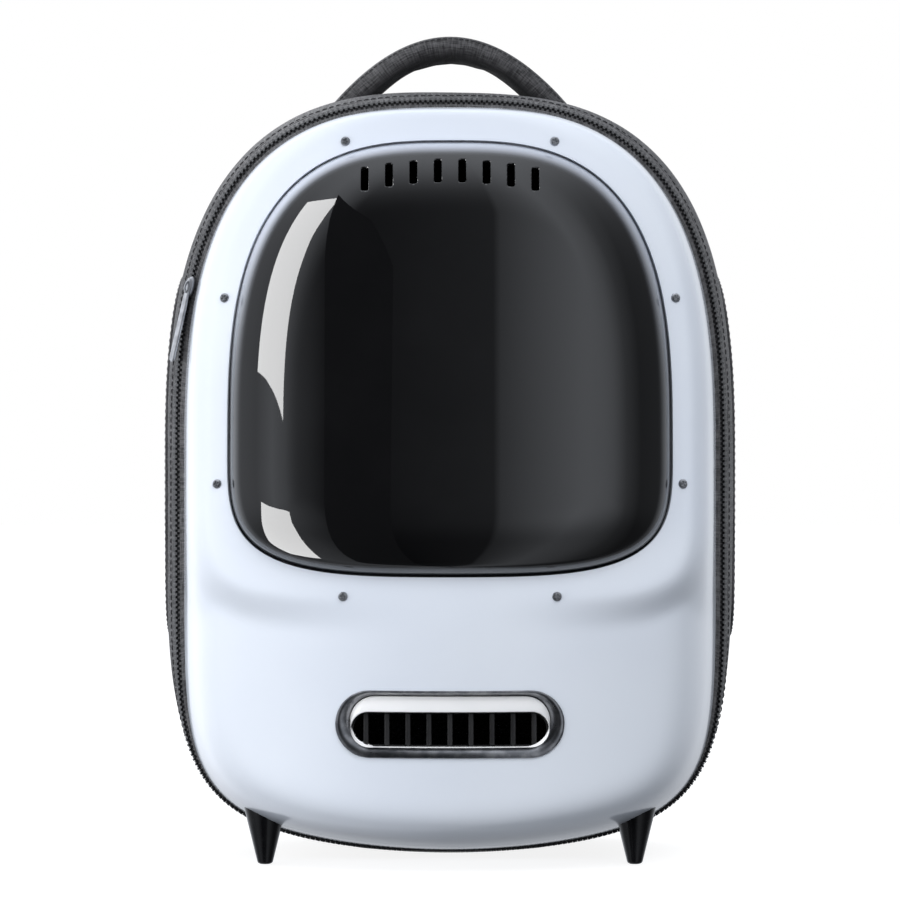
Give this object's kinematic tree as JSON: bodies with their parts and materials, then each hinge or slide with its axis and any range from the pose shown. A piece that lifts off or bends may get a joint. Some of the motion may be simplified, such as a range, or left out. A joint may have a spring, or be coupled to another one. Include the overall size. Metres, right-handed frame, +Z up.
{
  "type": "pet carrier backpack",
  "caption": "Backpack for carrying a pet: glossy hard front shell with a smoked bubble window and air inlet, zipped to a soft bag with mesh sides, padded back, shoulder straps and carry handle.",
  "frame": {"origin": "on the floor, under the middle of the whole object's width and depth", "axes": "+Z up, -Y the way the window faces, +X to the viewer's right when looking at the window"},
  "size_m": [0.3346, 0.3044, 0.4837],
  "materials": {
    "shell_white": "glossy bluish-white moulded plastic",
    "window_smoke": "clear gloss plastic with a dark smoke tint",
    "screw_steel": "small plain steel screw heads",
    "vent_metal": "dark satin metal ring",
    "black_plastic": "black moulded plastic",
    "foot_black": "glossy black moulded plastic",
    "bag_fabric": "charcoal woven fabric with a light heather",
    "back_fabric": "dark padded spacer fabric",
    "side_mesh": "dark open ventilation mesh",
    "webbing": "black ribbed webbing",
    "zip_metal": "satin grey metal slider and pull tab"
  },
  "bodies": {
    "root": {"front_shell": "shell_white", "window": "window_smoke", "window_screw_1": "screw_steel", "window_screw_2": "screw_steel", "window_screw_3": "screw_steel", "window_screw_4": "screw_steel", "window_screw_5": "screw_steel", "window_screw_6": "screw_steel", "window_screw_7": "screw_steel", "window_screw_8": "screw_steel", "vent_ring": "vent_metal", "vent_bezel": "shell_white", "vent_grille": "black_plastic", "zip_band": "bag_fabric", "zip_slider": "zip_metal", "gusset": "bag_fabric", "back_panel": "back_fabric", "carry_handle": "bag_fabric", "front_foot_right": "foot_black", "front_foot_left": "foot_black", "mesh_panel_right": "side_mesh", "mesh_panel_left": "side_mesh", "strap_pad_right": "back_fabric", "strap_pad_left": "back_fabric", "strap_adjuster_right": "black_plastic", "strap_adjuster_left": "black_plastic", "strap_webbing_right": "webbing", "strap_webbing_left": "webbing", "strap_anchor_right": "bag_fabric", "strap_anchor_left": "bag_fabric"}
  },
  "joints": []
}
